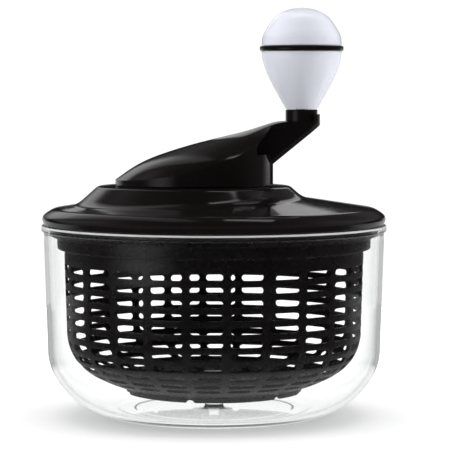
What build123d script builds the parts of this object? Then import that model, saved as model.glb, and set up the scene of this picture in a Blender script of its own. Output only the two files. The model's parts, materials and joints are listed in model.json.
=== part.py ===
from build123d import *
from math import acos, cos, degrees, pi, radians, sin, tan
import os

# Crank-driven salad spinner: a clear bowl, a slotted basket that spins on a pivot in the
# bowl, and a lid whose crank drives the basket through an internal gear and a pinion.
# Millimetres, +Z up, origin at the centre of the bowl's base on the table.
# The crank points along +X at rest.

os.makedirs("parts", exist_ok=True)

# ---------------------------------------------------------------- driving dimensions
FIT = 0.05                 # radial clearance of a running fit
GAP = 0.3                  # clearance between bodies that only pass each other

# Bowl
BOWL_HEIGHT = 138.7
RIM_RADIUS = 125.0         # outer edge of the rim bead
RIM_BEAD_HEIGHT = 4.0
BOWL_WALL = 3.0
BOWL_FLOOR = 4.0
BOWL_CORNER = dict(wall=120.7, base_z=0.0, lower=58.0, upper=40.5, split=58.8)
BOWL_NECK_RADIUS = 123.4   # wall just under the bead
BOWL_NECK_Z = 133.7
PIVOT_RADIUS = 7.0
PIVOT_TIP_RADIUS = 4.5
PIVOT_TOP = 26.0

# Basket
BASKET_WALL = 2.0
BASKET_CORNER = dict(wall=106.9, base_z=13.5, lower=132.0, upper=37.5, split=28.65)
BASKET_NECK_RADIUS = 108.5
BASKET_NECK_Z = 120.7
COLLAR_RADIUS = 113.6
COLLAR_BOTTOM = 122.2
FLANGE_RADIUS = 119.0
FLANGE_BOTTOM = 129.7
BASKET_TOP = 134.2
FOOT_RADIUS = 64.0
FOOT_BOTTOM = 16.7
FOOT_THICKNESS = 3.0
FOOT_NOTCHES = 6
FOOT_NOTCH_ANGLE = -105.0
FOOT_NOTCH_RADIUS = 3.5
SLOT_COLUMNS = 24
SLOT_ANGLE = 12.5          # direction of the first column of slots
SLOT_HEIGHT = 4.7
SLOT_PITCH = 9.22
SLOT_RIB = 5.2             # width of the upright rib between two columns
SLOT_TOP_ROW = 109.1
WALL_ROWS = 6
CORNER_ROWS = 5
LUGS = 3                   # drive lugs on the plate and notches in the flange
LUG_ANGLE = -93.0
NOTCH_WIDTH = 30.0         # degrees
LUG_WIDTH = 27.0           # degrees
NOTCH_RADIUS = 114.4

# Pivot cup
CUP_RADIUS = 8.0
CUP_FLANGE_RADIUS = 10.5
BOSS_RADIUS = 12.0
BOSS_BOTTOM = 14.2
BOSS_TOP = 29.5

# Lid
LID_WALL = 2.6
LID_RADIUS = 124.4
LID_EDGE_Z = 143.2         # height of the widest line of the lip
LID_BOTTOM = 139.1
LID_SLOPE = 0.154          # fall of the skirt per millimetre of radius
LID_CONE_TOP = 168.5       # height where the skirt's cone would meet the axis
LID_RING_OUTER = 119.2
LID_RING_INNER = 117.2
LID_RING_BOTTOM = 134.9
DOME_X = -14.5             # the dome over the gears stands off centre
DOME_TOP_RADIUS = 69.8
DOME_FOOT_RADIUS = 89.0
DOME_TOP = 167.8
DOME_EDGE_Z = 166.6
DOME_FOOT_Z = 149.6
DOME_FILLET = 8.0
POST_CIRCLE = 64.0
POST_RADIUS = 4.0
COVER_RADIUS = 72.0
COVER_BOTTOM = 143.4
COVER_TOP = 146.0

# Gears: an internal ring on the crank turns a pinion on the basket's axis
MODULE = 1.0
RING_TEETH = 45
PINION_TEETH = 16
PRESSURE_ANGLE = 20.0
BACKLASH = 0.16
CRANK_X = -MODULE * (RING_TEETH - PINION_TEETH) / 2
RING_PITCH = MODULE * RING_TEETH / 2
PINION_PITCH = MODULE * PINION_TEETH / 2
RING_BODY_RADIUS = 27.5
GEAR_BOTTOM = 148.5
WEB_BOTTOM = 157.5
WEB_TOP = 161.8

# Crank
HUB_RADIUS = 57.0
HUB_BOTTOM = 168.3
SHAFT_RADIUS = 7.0
SHAFT_TOP = 186.0
STUB_RADIUS = 3.8          # the shaft's end in the ring gear's web
CRANK_WASHER_RADIUS = 5.0  # clears the pinion's teeth
KNOB_X = 63.4
ARM_HALF_WIDTH = 12.2
ARM_TIP_RADIUS = 13.4
ARM_TOP = 213.6
CRANK_WALL = 2.2
HOLLOW_END = 26.0          # the hub is hollow as far as here and the arm beyond is solid
LEDGE_Z = 190.0            # the hub's full width ends here and the narrow arm goes on
# Level sections of the crank body: height, left end, right end, half width
CRANK_SECTIONS = [
    (168.3, -76.5, 45.0, 60.5),
    (176.0, -65.0, 47.0, 59.0),
    (184.0, -52.0, 51.0, 55.0),
    (190.0, -37.5, 58.0, 47.5),
    (196.0, -18.5, 65.0, 37.0),
    (202.7, 8.0, 72.5, 27.0),
    (210.0, 34.0, 80.5, 18.5),
    (213.6, 47.1, 85.0, 15.5),
]
UNDERSIDE_START = (42.6, 183.0)
UNDERSIDE_END = (76.8, 210.9)
COVER_THICKNESS = 2.8
CRANK_COVER_PLATE = 2.0
COVER_PLATE_RADIUS = 54.8
COVER_SCREW_CIRCLE = 36.0
NOSE_TOP = 218.6

# Knob
COLLAR_KNOB_RADIUS = 11.6
KNOB_COLLAR_TOP = 222.0
KNOB_NECK_RADIUS = 11.0
KNOB_RADIUS = 29.0
KNOB_TOP = 295.5
KNOB_SPLIT = 266.0         # mid height of the black ring between the halves
RING_HALF_HEIGHT = 2.3
RING_RADIUS = 30.3
RING_SEAT_RADIUS = 27.6
KNOB_WALL = 2.6
SPIGOT_BOTTOM = 259.6      # end of the upper half's spigot inside the lower half
AXLE_RADIUS = 4.0
AXLE_BOTTOM = 207.5
CLIP_BOTTOM = 268.0

# Drive plate
PLATE_BOTTOM = 134.8
PLATE_THICKNESS = 2.0
PLATE_RADIUS = 112.5
LUG_OUTER = 116.6
LUG_INNER = 114.9
LUG_BOTTOM = 130.6
DRIVE_SHAFT_RADIUS = 5.0
DRIVE_D_RADIUS = 4.0
DRIVE_HUB_TOP = 140.6


# ---------------------------------------------------------------- helpers
def corner(wall, base_z, lower, upper, split, inset=0.0, start=0.0):
    """Five points of a bowl corner: two tangent arcs from the floor to the upright wall."""
    low_x = wall - upper - (lower - upper) * sin(radians(split))
    low_z = base_z + lower
    up_x = low_x + (lower - upper) * sin(radians(split))
    up_z = low_z - (lower - upper) * cos(radians(split))

    def on_arc(x, z, radius, turn):
        return (x + (radius - inset) * sin(radians(turn)), z - (radius - inset) * cos(radians(turn)))

    return [
        on_arc(low_x, low_z, lower, start),
        on_arc(low_x, low_z, lower, (start + split) / 2),
        on_arc(low_x, low_z, lower, split),
        on_arc(up_x, up_z, upper, (split + 90) / 2),
        on_arc(up_x, up_z, upper, 90),
    ]


def gear_outline(teeth, tip, root, thickening):
    """Corner points of a spur gear with involute flanks, first tooth on +X."""
    pitch = MODULE * teeth / 2
    base = pitch * cos(radians(PRESSURE_ANGLE))
    half_tooth = pi / (2 * teeth) + thickening / (2 * pitch)
    half_tooth += tan(radians(PRESSURE_ANGLE)) - radians(PRESSURE_ANGLE)

    def half_angle(radius):
        turn = acos(base / radius) if radius > base else 0.0
        return half_tooth - (tan(turn) - turn)

    radii = [root + (tip - root) * step / 4 for step in range(5)]
    points = []
    for tooth in range(teeth):
        middle = 2 * pi * tooth / teeth
        rising = [(radius, middle - half_angle(radius)) for radius in radii]
        falling = [(radius, middle + half_angle(radius)) for radius in reversed(radii)]
        points += [(r * cos(a), r * sin(a)) for r, a in rising + falling]
    return points


def ring_sector(inner, outer, middle, width, count):
    """Equal sectors of a flat ring; angles in degrees, the first centred on middle."""
    with BuildSketch(mode=Mode.PRIVATE) as sector:
        with BuildLine():
            near = CenterArc((0, 0), inner, -width / 2, width)
            far = CenterArc((0, 0), outer, -width / 2, width)
            Line(near @ 0, far @ 0)
            Line(near @ 1, far @ 1)
        make_face()
    with BuildSketch(mode=Mode.PRIVATE) as sectors:
        with PolarLocations(0, count, start_angle=middle):
            add(sector.sketch)
    return sectors.sketch


def d_shape(radius):
    """Round section with one flat, as on a driven shaft."""
    with BuildSketch(mode=Mode.PRIVATE) as section:
        Circle(radius)
        with Locations((radius * 1.7, 0)):
            Rectangle(2 * radius, 2 * radius, mode=Mode.SUBTRACT)
    return section.sketch


def crank_section(left, right, half_width):
    """Ellipse-like level section of the crank, always drawn from the same start."""
    middle = (left + right) / 2
    half_length = (right - left) / 2
    turns = [2 * pi * step / 12 for step in range(12)]
    points = [(middle + half_length * cos(turn), half_width * sin(turn)) for turn in turns]
    with BuildSketch(mode=Mode.PRIVATE) as section:
        with BuildLine():
            Spline(*points, periodic=True)
        make_face()
    return section.sketch


def flank_sides(half_width):
    """Two slabs that lie outside the arm's width."""
    slab = Box(200, 60, 120, align=(Align.CENTER, Align.MIN, Align.CENTER), mode=Mode.PRIVATE)
    upper = Pos(40, half_width, 210) * slab
    lower = Pos(40, -half_width, 210) * Rot(0, 0, 180) * slab
    return upper + lower


def slot_rows():
    """Radius, height and downward tilt of each row of slots, from the top."""
    rows = [(BASKET_NECK_RADIUS - 0.9, SLOT_TOP_ROW - SLOT_PITCH * row, 0.0) for row in range(WALL_ROWS)]
    upper = BASKET_CORNER["upper"]
    lower = BASKET_CORNER["lower"]
    split = BASKET_CORNER["split"]
    middle_x = BASKET_CORNER["wall"] - upper
    middle_z = BASKET_CORNER["base_z"] + lower - (lower - upper) * cos(radians(split))
    last_wall_row = SLOT_TOP_ROW - SLOT_PITCH * (WALL_ROWS - 1)
    for row in range(1, CORNER_ROWS + 1):
        tilt = degrees((SLOT_PITCH * row + middle_z - last_wall_row) / upper)
        rows.append((middle_x + upper * cos(radians(tilt)), middle_z - upper * sin(radians(tilt)), tilt))
    return rows


def write(builder, name):
    """Label a finished piece and write its STEP file."""
    builder.part.label = name
    export_step(builder.part, f"parts/{name}.step")


# ---------------------------------------------------------------- bowl
bowl_out = corner(**BOWL_CORNER)
bowl_in = corner(**BOWL_CORNER, inset=BOWL_WALL)
bowl_floor_edge = (bowl_out[0][0] - 3.0, BOWL_FLOOR)
neck_in = BOWL_NECK_RADIUS - BOWL_WALL

with BuildPart() as bowl:
    with BuildSketch(Plane.XZ):
        with BuildLine():
            Line((0, 0), bowl_out[0])
            ThreePointArc(*bowl_out[0:3])
            ThreePointArc(*bowl_out[2:5])
            Line(bowl_out[4], (BOWL_NECK_RADIUS, BOWL_NECK_Z))
            Polyline(
                (BOWL_NECK_RADIUS, BOWL_NECK_Z),
                (RIM_RADIUS, BOWL_HEIGHT - RIM_BEAD_HEIGHT),
                (RIM_RADIUS, BOWL_HEIGHT),
                (neck_in, BOWL_HEIGHT),
                (neck_in, BOWL_NECK_Z),
            )
            Line((neck_in, BOWL_NECK_Z), bowl_in[4])
            ThreePointArc(*reversed(bowl_in[2:5]))
            Spline(
                bowl_in[2],
                bowl_in[1],
                bowl_floor_edge,
                tangents=[(-cos(radians(58.8)), -sin(radians(58.8))), (-1, 0)],
            )
            Line(bowl_floor_edge, (PIVOT_RADIUS, BOWL_FLOOR))
            Line((PIVOT_RADIUS, BOWL_FLOOR), (PIVOT_TIP_RADIUS, PIVOT_TOP - PIVOT_TIP_RADIUS))
            RadiusArc(
                (PIVOT_TIP_RADIUS, PIVOT_TOP - PIVOT_TIP_RADIUS),
                (0, PIVOT_TOP),
                -PIVOT_TIP_RADIUS,
            )
            Line((0, PIVOT_TOP), (0, 0))
        make_face()
    revolve(axis=Axis.Z)
    bead_edges = bowl.edges().filter_by(GeomType.CIRCLE).filter_by(
        lambda edge: edge.center().Z > BOWL_HEIGHT - RIM_BEAD_HEIGHT - 0.1
    )
    fillet(bead_edges, radius=1.0)
write(bowl, "bowl")

# ---------------------------------------------------------------- basket
with BuildPart() as slot_column:
    for radius, height, tilt in slot_rows():
        outward = (cos(radians(tilt)), 0, -sin(radians(tilt)))
        with BuildSketch(Plane(origin=(radius, 0, height), x_dir=(0, 1, 0), z_dir=outward)):
            SlotOverall(radius * 2 * pi / SLOT_COLUMNS - SLOT_RIB, SLOT_HEIGHT)
        extrude(amount=5, both=True)

foot_turn = degrees(acos(1 - (19.7 - BASKET_CORNER["base_z"]) / BASKET_CORNER["lower"]))
basket_out = corner(**BASKET_CORNER, start=foot_turn)
basket_in = corner(**BASKET_CORNER, inset=BASKET_WALL, start=foot_turn)
collar_in = COLLAR_RADIUS - BASKET_WALL
floor_z = basket_out[0][1]

with BuildPart() as basket:
    with BuildSketch(Plane.XZ):
        with BuildLine():
            Polyline(
                (CUP_RADIUS + FIT, BOSS_BOTTOM),
                (BOSS_RADIUS, BOSS_BOTTOM),
                (BOSS_RADIUS, floor_z),
                (FOOT_RADIUS - FOOT_THICKNESS, floor_z),
                (FOOT_RADIUS - FOOT_THICKNESS, FOOT_BOTTOM),
                (FOOT_RADIUS, FOOT_BOTTOM),
                basket_out[0],
            )
            ThreePointArc(*basket_out[0:3])
            ThreePointArc(*basket_out[2:5])
            Polyline(
                basket_out[4],
                (BASKET_NECK_RADIUS, BASKET_NECK_Z - 4),
                (BASKET_NECK_RADIUS, BASKET_NECK_Z),
                (COLLAR_RADIUS, COLLAR_BOTTOM),
                (COLLAR_RADIUS, FLANGE_BOTTOM),
            )
            RadiusArc((COLLAR_RADIUS, FLANGE_BOTTOM), (FLANGE_RADIUS, BASKET_TOP - 1.2), -7.0)
            Polyline(
                (FLANGE_RADIUS, BASKET_TOP - 1.2),
                (FLANGE_RADIUS, BASKET_TOP),
                (collar_in, BASKET_TOP),
                (collar_in, COLLAR_BOTTOM + 1.2),
                (BASKET_NECK_RADIUS - BASKET_WALL, BASKET_NECK_Z + 0.8),
                (BASKET_NECK_RADIUS - BASKET_WALL, BASKET_NECK_Z - 4),
                basket_in[4],
            )
            ThreePointArc(*reversed(basket_in[2:5]))
            ThreePointArc(*reversed(basket_in[0:3]))
            Polyline(
                basket_in[0],
                (BOSS_RADIUS, basket_in[0][1]),
                (BOSS_RADIUS, BOSS_TOP),
                (CUP_RADIUS + FIT, BOSS_TOP),
                (CUP_RADIUS + FIT, BOSS_BOTTOM),
            )
        make_face()
    revolve(axis=Axis.Z)

    # Notches in the flange that the drive plate's lugs drop into
    with BuildSketch(Plane.XY.offset(FLANGE_BOTTOM - 1)):
        add(ring_sector(NOTCH_RADIUS, FLANGE_RADIUS + 2, LUG_ANGLE, NOTCH_WIDTH, LUGS))
    extrude(amount=BASKET_TOP - FLANGE_BOTTOM + 2, mode=Mode.SUBTRACT)

    # Small arches under the foot ring
    foot_plane = Plane(origin=(0, 0, FOOT_BOTTOM - 1.5), x_dir=(0, 1, 0), z_dir=(1, 0, 0))
    with BuildPart(foot_plane, mode=Mode.PRIVATE) as arch:
        Cylinder(FOOT_NOTCH_RADIUS, 10, align=(Align.CENTER, Align.CENTER, Align.MIN))
    with PolarLocations(FOOT_RADIUS - 6, FOOT_NOTCHES, start_angle=FOOT_NOTCH_ANGLE):
        add(arch.part, mode=Mode.SUBTRACT)

    with PolarLocations(0, SLOT_COLUMNS, start_angle=SLOT_ANGLE):
        add(slot_column.part, mode=Mode.SUBTRACT)
write(basket, "basket")

# ---------------------------------------------------------------- pivot cup
# A plain bearing that stays in the basket's boss and stands on the bowl's pivot
with BuildPart() as pivot_cup:
    with BuildSketch(Plane.XZ):
        Polygon(
            (0, PIVOT_TOP + GAP),
            (PIVOT_TIP_RADIUS + GAP, PIVOT_TOP + GAP),
            (PIVOT_TIP_RADIUS + GAP, PIVOT_TOP - PIVOT_TIP_RADIUS),
            (PIVOT_RADIUS - 0.8, BOSS_BOTTOM - 2.2),
            (CUP_FLANGE_RADIUS, BOSS_BOTTOM - 2.2),
            (CUP_FLANGE_RADIUS, BOSS_BOTTOM - FIT),
            (CUP_RADIUS, BOSS_BOTTOM - FIT),
            (CUP_RADIUS, BOSS_TOP + FIT),
            (CUP_RADIUS + 0.8, BOSS_TOP + FIT),
            (CUP_RADIUS - 0.6, BOSS_TOP + 1.6),
            (0, BOSS_TOP + 1.6),
            align=None,
        )
    revolve(axis=Axis.Z)
write(pivot_cup, "pivot_cup")

# ---------------------------------------------------------------- lid shell
def skirt_z(radius):
    return LID_CONE_TOP - LID_SLOPE * radius


def on_skirt(edge):
    """Whether an edge is where the dome comes out of the skirt."""
    point = edge.position_at(0.3)
    radius = (point.X**2 + point.Y**2) ** 0.5
    on_cone = 55 < radius < 109 and abs(point.Z - skirt_z(radius)) < 0.02
    return on_cone and edge.geom_type != GeomType.LINE


# Dome over the gears, made about its own axis
with BuildPart() as dome:
    with BuildSketch(Plane.XZ):
        Polygon(
            (0, 152),
            (0, DOME_TOP),
            (57, DOME_TOP - 0.2),
            (DOME_TOP_RADIUS, DOME_EDGE_Z),
            (DOME_FOOT_RADIUS, DOME_FOOT_Z),
            (DOME_FOOT_RADIUS - 6, DOME_FOOT_Z),
            (DOME_FOOT_RADIUS - 6, 152),
            align=None,
        )
        fillet(vertices().sort_by_distance((DOME_TOP_RADIUS, DOME_EDGE_Z, 0))[0], radius=4)
    revolve(axis=Axis.Z)

# Room for the gears inside it, open underneath
with BuildPart() as gear_room:
    with BuildSketch(Plane.XZ):
        Polygon(
            (0, 130),
            (0, DOME_TOP - LID_WALL),
            (57, DOME_TOP - LID_WALL),
            (DOME_TOP_RADIUS - 2.6, DOME_EDGE_Z - LID_WALL),
            (DOME_FOOT_RADIUS - 4.2, 149.7),
            (DOME_FOOT_RADIUS - 4.2, 130),
            align=None,
        )
    revolve(axis=Axis.Z)

with BuildPart() as lid_shell:
    with BuildSketch(Plane.XZ):
        with BuildLine():
            Line((50, skirt_z(50) - LID_WALL), (50, skirt_z(50)))
            Line((50, skirt_z(50)), (110, skirt_z(110)))
            Spline(
                (110, skirt_z(110)),
                (116, 150.3),
                (120.6, 148.0),
                (LID_RADIUS, LID_EDGE_Z),
                tangents=[(1, -LID_SLOPE), (0, -1)],
            )
            Spline(
                (LID_RADIUS, LID_EDGE_Z),
                (LID_RADIUS - 1.2, LID_BOTTOM),
                tangents=[(0, -1), (-0.5, -1)],
            )
            Polyline(
                (LID_RADIUS - 1.2, LID_BOTTOM),
                (LID_RADIUS - 3.2, LID_BOTTOM),
                (LID_RADIUS - 4.2, LID_EDGE_Z),
                (LID_RING_OUTER, LID_EDGE_Z),
                (LID_RING_OUTER, LID_RING_BOTTOM),
                (LID_RING_INNER, LID_RING_BOTTOM),
                (LID_RING_INNER, skirt_z(LID_RING_INNER) - LID_WALL - 1.2),
                (109, skirt_z(109) - LID_WALL),
                (50, skirt_z(50) - LID_WALL),
            )
        make_face()
    revolve(axis=Axis.Z)
    with Locations(Location((DOME_X, 0, 0), (0, 0, 90))):
        add(dome.part)
    dome_foot = lid_shell.edges().filter_by(on_skirt)
    fillet(dome_foot, radius=DOME_FILLET)
    with Locations(Location((DOME_X, 0, 0), (0, 0, 90))):
        add(gear_room.part, mode=Mode.SUBTRACT)

    # Screw posts for the gear cover, and the hole for the crank bush
    with BuildSketch(Plane.XY.offset(COVER_TOP)):
        with Locations((DOME_X, 0)):
            with PolarLocations(POST_CIRCLE, 4, start_angle=45):
                Circle(POST_RADIUS)
    extrude(amount=DOME_TOP - LID_WALL - COVER_TOP + 0.5)
    with BuildSketch(Plane.XY.offset(COVER_TOP)):
        with Locations((DOME_X, 0)):
            with PolarLocations(POST_CIRCLE, 4, start_angle=45):
                Circle(1.5)
    extrude(amount=12, mode=Mode.SUBTRACT)
    with BuildSketch(Plane.XY.offset(160)):
        with Locations((CRANK_X, 0)):
            Circle(10)
    extrude(amount=20, mode=Mode.SUBTRACT)
write(lid_shell, "lid_shell")

# ---------------------------------------------------------------- lid seal
with BuildPart() as lid_seal:
    with BuildSketch(Plane.XZ):
        Polygon(
            (LID_RING_OUTER, LID_BOTTOM - 0.6),
            (LID_RING_OUTER, LID_RING_BOTTOM + 0.4),
            (LID_RING_OUTER + 0.5, LID_RING_BOTTOM + 0.4),
            (neck_in - GAP, LID_RING_BOTTOM + 2.0),
            (LID_RING_OUTER + 0.5, LID_BOTTOM - 0.6),
            align=None,
        )
    revolve(axis=Axis.Z)
write(lid_seal, "lid_seal")

# ---------------------------------------------------------------- gear cover and its screws
with BuildPart() as gear_cover:
    with BuildSketch(Plane.XY.offset(COVER_BOTTOM)):
        with Locations((DOME_X, 0)):
            Circle(COVER_RADIUS)
            with PolarLocations(POST_CIRCLE, 4, start_angle=45):
                Circle(1.6, mode=Mode.SUBTRACT)
        Circle(8, mode=Mode.SUBTRACT)
    extrude(amount=COVER_TOP - COVER_BOTTOM)
    with BuildSketch(Plane.XY.offset(COVER_BOTTOM - 1.6)):
        with Locations((DOME_X, 0)):
            Circle(COVER_RADIUS)
            Circle(COVER_RADIUS - 2, mode=Mode.SUBTRACT)
        Circle(13)
        Circle(8, mode=Mode.SUBTRACT)
    extrude(amount=1.6)
write(gear_cover, "gear_cover")

with BuildPart() as gear_cover_screws:
    screw_plane = Plane.XY.offset(COVER_BOTTOM - 1.8)
    with BuildSketch(screw_plane):
        with Locations((DOME_X, 0)):
            with PolarLocations(POST_CIRCLE, 4, start_angle=45):
                Circle(3.4)
    extrude(amount=1.8)
    with BuildSketch(screw_plane):
        with Locations((DOME_X, 0)):
            with PolarLocations(POST_CIRCLE, 4, start_angle=45):
                Circle(1.5)
    extrude(amount=11)
    with BuildSketch(screw_plane):
        with Locations((DOME_X, 0)):
            with PolarLocations(POST_CIRCLE, 4, start_angle=45):
                Rectangle(3.6, 0.8)
                Rectangle(0.8, 3.6)
    extrude(amount=1.0, mode=Mode.SUBTRACT)
write(gear_cover_screws, "gear_cover_screws")

# ---------------------------------------------------------------- bushes
with BuildPart() as crank_bush:
    with BuildSketch(Plane.XY.offset(162.6)):
        with Locations((CRANK_X, 0)):
            Circle(13)
            Circle(SHAFT_RADIUS + FIT, mode=Mode.SUBTRACT)
    extrude(amount=DOME_TOP - LID_WALL - 162.6)
    with BuildSketch(Plane.XY.offset(162.6)):
        with Locations((CRANK_X, 0)):
            Circle(10)
            Circle(SHAFT_RADIUS + FIT, mode=Mode.SUBTRACT)
    extrude(amount=DOME_TOP - 162.6)
write(crank_bush, "crank_bush")

with BuildPart() as drive_bush:
    with BuildSketch(Plane.XY.offset(COVER_BOTTOM - 2)):
        Circle(8)
        Circle(DRIVE_SHAFT_RADIUS + FIT, mode=Mode.SUBTRACT)
    extrude(amount=COVER_TOP - COVER_BOTTOM + 2)
    with BuildSketch(Plane.XY.offset(COVER_TOP)):
        Circle(11)
        Circle(DRIVE_SHAFT_RADIUS + FIT, mode=Mode.SUBTRACT)
    extrude(amount=1.6)
write(drive_bush, "drive_bush")

# ---------------------------------------------------------------- ring gear, its shaft and screw
with BuildPart() as ring_gear:
    ring_space = gear_outline(RING_TEETH, RING_PITCH + 1.25 * MODULE, RING_PITCH - MODULE, BACKLASH)
    with BuildSketch(Plane.XY.offset(GEAR_BOTTOM)):
        with Locations((CRANK_X, 0)):
            Circle(RING_BODY_RADIUS)
            Polygon(*ring_space, align=None, mode=Mode.SUBTRACT)
    extrude(amount=WEB_BOTTOM - GEAR_BOTTOM)
    with BuildSketch(Plane.XY.offset(WEB_BOTTOM)):
        with Locations((CRANK_X, 0)):
            Circle(RING_BODY_RADIUS)
            Circle(STUB_RADIUS, mode=Mode.SUBTRACT)
            with PolarLocations(17.5, 6):
                Circle(4, mode=Mode.SUBTRACT)
    extrude(amount=WEB_TOP - WEB_BOTTOM)
write(ring_gear, "ring_gear")

with BuildPart() as crank_shaft:
    with BuildSketch(Plane.XY.offset(WEB_BOTTOM + 0.1)):
        with Locations((CRANK_X, 0)):
            Circle(STUB_RADIUS)
    extrude(amount=WEB_TOP - WEB_BOTTOM - 0.1)
    with BuildSketch(Plane.XY.offset(WEB_TOP)):
        with Locations((CRANK_X, 0)):
            Circle(SHAFT_RADIUS)
    extrude(amount=SHAFT_TOP - WEB_TOP)
    with BuildSketch(Plane.XY.offset(WEB_BOTTOM)):
        with Locations((CRANK_X, 0)):
            Circle(1.9)
    extrude(amount=12, mode=Mode.SUBTRACT)
write(crank_shaft, "crank_shaft")

with BuildPart() as crank_washer:
    with BuildSketch(Plane.XY.offset(WEB_BOTTOM - 1.4)):
        with Locations((CRANK_X, 0)):
            Circle(CRANK_WASHER_RADIUS)
            Circle(2, mode=Mode.SUBTRACT)
    extrude(amount=1.4)
write(crank_washer, "crank_washer")

with BuildPart() as crank_screw:
    with BuildSketch(Plane.XY.offset(WEB_BOTTOM - 4.0)):
        with Locations((CRANK_X, 0)):
            Circle(4.4)
    extrude(amount=2.6)
    with BuildSketch(Plane.XY.offset(WEB_BOTTOM - 1.4)):
        with Locations((CRANK_X, 0)):
            Circle(1.9)
    extrude(amount=12)
    with BuildSketch(Plane.XY.offset(WEB_BOTTOM - 4.0)):
        with Locations((CRANK_X, 0)):
            RegularPolygon(2, 6)
    extrude(amount=1.5, mode=Mode.SUBTRACT)
write(crank_screw, "crank_screw")

# ---------------------------------------------------------------- pinion and drive plate
with BuildPart() as pinion:
    pinion_teeth = gear_outline(
        PINION_TEETH, PINION_PITCH + MODULE, PINION_PITCH - 1.25 * MODULE, -BACKLASH
    )
    with BuildSketch(Plane.XY.offset(COVER_TOP + 1.6 + FIT)):
        Polygon(*pinion_teeth, align=None)
    extrude(amount=WEB_BOTTOM - 0.5 - (COVER_TOP + 1.6 + FIT))
    with BuildSketch(Plane.XY.offset(DRIVE_HUB_TOP)):
        Circle(DRIVE_SHAFT_RADIUS)
    extrude(amount=COVER_TOP + 2 - DRIVE_HUB_TOP)
    with BuildSketch(Plane.XY.offset(PLATE_BOTTOM + 0.1)):
        add(d_shape(DRIVE_D_RADIUS))
    extrude(amount=DRIVE_HUB_TOP - PLATE_BOTTOM - 0.1)
    with BuildSketch(Plane.XY.offset(PLATE_BOTTOM)):
        Circle(1.6)
    extrude(amount=12, mode=Mode.SUBTRACT)
write(pinion, "pinion")

with BuildPart() as drive_plate:
    with BuildSketch(Plane.XY.offset(PLATE_BOTTOM)):
        Circle(PLATE_RADIUS)
        add(ring_sector(PLATE_RADIUS - 1, LUG_OUTER, LUG_ANGLE, LUG_WIDTH, LUGS))
        add(d_shape(DRIVE_D_RADIUS), mode=Mode.SUBTRACT)
        add(ring_sector(28, 98, 30, 46, 6), mode=Mode.SUBTRACT)
    extrude(amount=PLATE_THICKNESS)
    with BuildSketch(Plane.XY.offset(LUG_BOTTOM)):
        add(ring_sector(LUG_INNER, LUG_OUTER, LUG_ANGLE, LUG_WIDTH, LUGS))
    extrude(amount=PLATE_BOTTOM - LUG_BOTTOM + 0.5)
    with BuildSketch(Plane.XY.offset(PLATE_BOTTOM)):
        Circle(10)
        add(d_shape(DRIVE_D_RADIUS), mode=Mode.SUBTRACT)
    extrude(amount=DRIVE_HUB_TOP - 0.2 - PLATE_BOTTOM)
write(drive_plate, "drive_plate")

with BuildPart() as drive_washer:
    with BuildSketch(Plane.XY.offset(PLATE_BOTTOM - 1.2)):
        Circle(7)
        Circle(1.7, mode=Mode.SUBTRACT)
    extrude(amount=1.2)
write(drive_washer, "drive_washer")

with BuildPart() as drive_screw:
    with BuildSketch(Plane.XY.offset(PLATE_BOTTOM - 3.6)):
        Circle(4)
    extrude(amount=2.4)
    with BuildSketch(Plane.XY.offset(PLATE_BOTTOM - 1.2)):
        Circle(1.6)
    extrude(amount=12)
    with BuildSketch(Plane.XY.offset(PLATE_BOTTOM - 3.6)):
        Rectangle(4.6, 1.0)
        Rectangle(1.0, 4.6)
    extrude(amount=1.2, mode=Mode.SUBTRACT)
write(drive_screw, "drive_screw")

# ---------------------------------------------------------------- crank body
# The full outside of the crank, before it is divided into shell and underside cover
slope = Vector(*UNDERSIDE_END) - Vector(*UNDERSIDE_START)
slope_up = slope.normalized()
slope_in = Vector(-slope_up.Y, slope_up.X)

with BuildPart() as flank:
    with BuildSketch(Plane.XZ):
        with BuildLine():
            FilletPolyline(
                (110, LEDGE_Z),
                (30.5, LEDGE_Z),
                (30.5, LEDGE_Z + 6.8),
                (66.0, LEDGE_Z + 44.3),
                radius=[1.5, 9.0],
            )
            Polyline((66.0, LEDGE_Z + 44.3), (110, LEDGE_Z + 44.3), (110, LEDGE_Z))
        make_face()
    extrude(amount=80, both=True)

with BuildPart() as crank_body:
    for height, left, right, half_width in CRANK_SECTIONS:
        with BuildSketch(Plane.XY.offset(height)):
            add(crank_section(left, right, half_width))
    loft()
    with BuildSketch(Plane.XY.offset(HUB_BOTTOM - 1)):
        with Locations((CRANK_X, 0)):
            Circle(HUB_RADIUS)
        with Locations(((CRANK_X + KNOB_X) / 2, 0)):
            Rectangle(KNOB_X - CRANK_X, 2 * ARM_HALF_WIDTH)
        with Locations((KNOB_X, 0)):
            Circle(ARM_TIP_RADIUS)
    extrude(amount=60, mode=Mode.INTERSECT)
    # Raised nose behind the knob's collar
    with BuildSketch(Plane.XY.offset(ARM_TOP - 1)):
        with Locations((KNOB_X, 0)):
            add(ring_sector(COLLAR_KNOB_RADIUS + 0.1, ARM_TIP_RADIUS, 0, 100, 1))
    extrude(amount=NOSE_TOP - ARM_TOP + 1)
    # Flat flanks that leave the narrow arm above the ledge
    add(flank.part & flank_sides(ARM_HALF_WIDTH), mode=Mode.SUBTRACT)
    # Underside of the overhanging arm
    with BuildSketch(Plane.XZ):
        Polygon(
            UNDERSIDE_START,
            UNDERSIDE_END,
            (UNDERSIDE_END[0] + 20, UNDERSIDE_END[1]),
            (UNDERSIDE_END[0] + 20, HUB_BOTTOM - 5),
            (UNDERSIDE_START[0], HUB_BOTTOM - 5),
            align=None,
        )
    extrude(amount=80, both=True, mode=Mode.SUBTRACT)

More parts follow.
